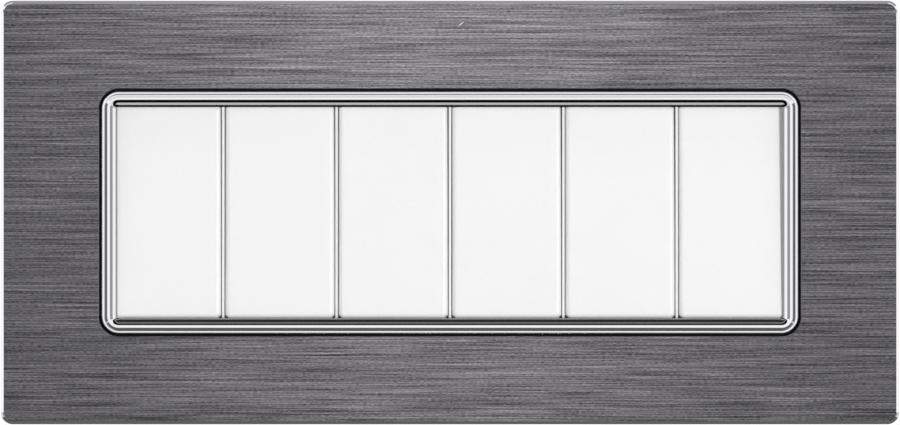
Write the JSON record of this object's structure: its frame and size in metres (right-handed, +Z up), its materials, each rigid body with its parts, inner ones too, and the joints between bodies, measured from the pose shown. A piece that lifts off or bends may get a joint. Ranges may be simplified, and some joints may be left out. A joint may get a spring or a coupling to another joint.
{
  "type": "switch plate",
  "caption": "Wide wall plate with a brushed dark metal front, a chrome bezel and a row of plain white rocker keys over push-in switch modules.",
  "frame": {"origin": "midway between the two box screws, on the plane of the wall", "axes": "+X to the right along the row of keys, +Y into the wall, +Z up"},
  "size_m": [0.1782, 0.0312, 0.084],
  "materials": {
    "brushed_sheet": "dark grey, brushed along its length, with a polished bevel",
    "black_moulding": "black, matt",
    "chrome_trim": "bright chrome plate",
    "grey_moulding": "mid grey, matt",
    "white_key": "white, fine satin",
    "white_housing": "white, satin",
    "grey_base": "light grey, matt",
    "natural_plastic": "natural white, waxy",
    "spring_steel": "bright drawn wire and strip",
    "contact_brass": "plain rolled strip"
  },
  "bodies": {
    "plate": {"cover_sheet": "brushed_sheet", "plate_carrier": "black_moulding", "bezel_ring": "chrome_trim", "support_frame": "grey_moulding", "clamp_springs": "spring_steel", "housing_1": "white_housing", "base_1": "grey_base", "load_terminal_1": "contact_brass", "common_terminal_1": "contact_brass", "housing_2": "white_housing", "base_2": "grey_base", "load_terminal_2": "contact_brass", "common_terminal_2": "contact_brass", "housing_3": "white_housing", "base_3": "grey_base", "load_terminal_3": "contact_brass", "common_terminal_3": "contact_brass", "housing_4": "white_housing", "base_4": "grey_base", "load_terminal_4": "contact_brass", "common_terminal_4": "contact_brass", "housing_5": "white_housing", "base_5": "grey_base", "load_terminal_5": "contact_brass", "common_terminal_5": "contact_brass", "housing_6": "white_housing", "base_6": "grey_base", "load_terminal_6": "contact_brass", "common_terminal_6": "contact_brass"},
    "rocker_1": {"key_1": "white_key", "plunger_1": "natural_plastic", "spring_1": "spring_steel"},
    "contact_1": {"contact_lever_1": "contact_brass"},
    "rocker_2": {"key_2": "white_key", "plunger_2": "natural_plastic", "spring_2": "spring_steel"},
    "contact_2": {"contact_lever_2": "contact_brass"},
    "rocker_3": {"key_3": "white_key", "plunger_3": "natural_plastic", "spring_3": "spring_steel"},
    "contact_3": {"contact_lever_3": "contact_brass"},
    "rocker_4": {"key_4": "white_key", "plunger_4": "natural_plastic", "spring_4": "spring_steel"},
    "contact_4": {"contact_lever_4": "contact_brass"},
    "rocker_5": {"key_5": "white_key", "plunger_5": "natural_plastic", "spring_5": "spring_steel"},
    "contact_5": {"contact_lever_5": "contact_brass"},
    "rocker_6": {"key_6": "white_key", "plunger_6": "natural_plastic", "spring_6": "spring_steel"},
    "contact_6": {"contact_lever_6": "contact_brass"}
  },
  "joints": [
    {"name": "rocker_1_hinge", "type": "hinge", "parent": "plate", "child": "rocker_1", "pos_m": [-0.05625, -0.00067, 0], "axis": [1, 0, 0], "range_deg": [0, 4.4]},
    {"name": "contact_1_hinge", "type": "hinge", "parent": "plate", "child": "contact_1", "pos_m": [-0.05625, 0.0104, 0], "axis": [1, 0, 0], "range_deg": [-16, 0]},
    {"name": "rocker_2_hinge", "type": "hinge", "parent": "plate", "child": "rocker_2", "pos_m": [-0.03375, -0.00067, 0], "axis": [1, 0, 0], "range_deg": [0, 4.4]},
    {"name": "contact_2_hinge", "type": "hinge", "parent": "plate", "child": "contact_2", "pos_m": [-0.03375, 0.0104, 0], "axis": [1, 0, 0], "range_deg": [-16, 0]},
    {"name": "rocker_3_hinge", "type": "hinge", "parent": "plate", "child": "rocker_3", "pos_m": [-0.01125, -0.00067, 0], "axis": [1, 0, 0], "range_deg": [0, 4.4]},
    {"name": "contact_3_hinge", "type": "hinge", "parent": "plate", "child": "contact_3", "pos_m": [-0.01125, 0.0104, 0], "axis": [1, 0, 0], "range_deg": [-16, 0]},
    {"name": "rocker_4_hinge", "type": "hinge", "parent": "plate", "child": "rocker_4", "pos_m": [0.01125, -0.00067, 0], "axis": [1, 0, 0], "range_deg": [0, 4.4]},
    {"name": "contact_4_hinge", "type": "hinge", "parent": "plate", "child": "contact_4", "pos_m": [0.01125, 0.0104, 0], "axis": [1, 0, 0], "range_deg": [-16, 0]},
    {"name": "rocker_5_hinge", "type": "hinge", "parent": "plate", "child": "rocker_5", "pos_m": [0.03375, -0.00067, 0], "axis": [1, 0, 0], "range_deg": [0, 4.4]},
    {"name": "contact_5_hinge", "type": "hinge", "parent": "plate", "child": "contact_5", "pos_m": [0.03375, 0.0104, 0], "axis": [1, 0, 0], "range_deg": [-16, 0]},
    {"name": "rocker_6_hinge", "type": "hinge", "parent": "plate", "child": "rocker_6", "pos_m": [0.05625, -0.00067, 0], "axis": [1, 0, 0], "range_deg": [0, 4.4]},
    {"name": "contact_6_hinge", "type": "hinge", "parent": "plate", "child": "contact_6", "pos_m": [0.05625, 0.0104, 0], "axis": [1, 0, 0], "range_deg": [-16, 0]}
  ],
  "couplings": [
    {"joint": "contact_1_hinge", "follows": "rocker_1_hinge", "ratio": -3.6364},
    {"joint": "contact_2_hinge", "follows": "rocker_2_hinge", "ratio": -3.6364},
    {"joint": "contact_3_hinge", "follows": "rocker_3_hinge", "ratio": -3.6364},
    {"joint": "contact_4_hinge", "follows": "rocker_4_hinge", "ratio": -3.6364},
    {"joint": "contact_5_hinge", "follows": "rocker_5_hinge", "ratio": -3.6364},
    {"joint": "contact_6_hinge", "follows": "rocker_6_hinge", "ratio": -3.6364}
  ]
}
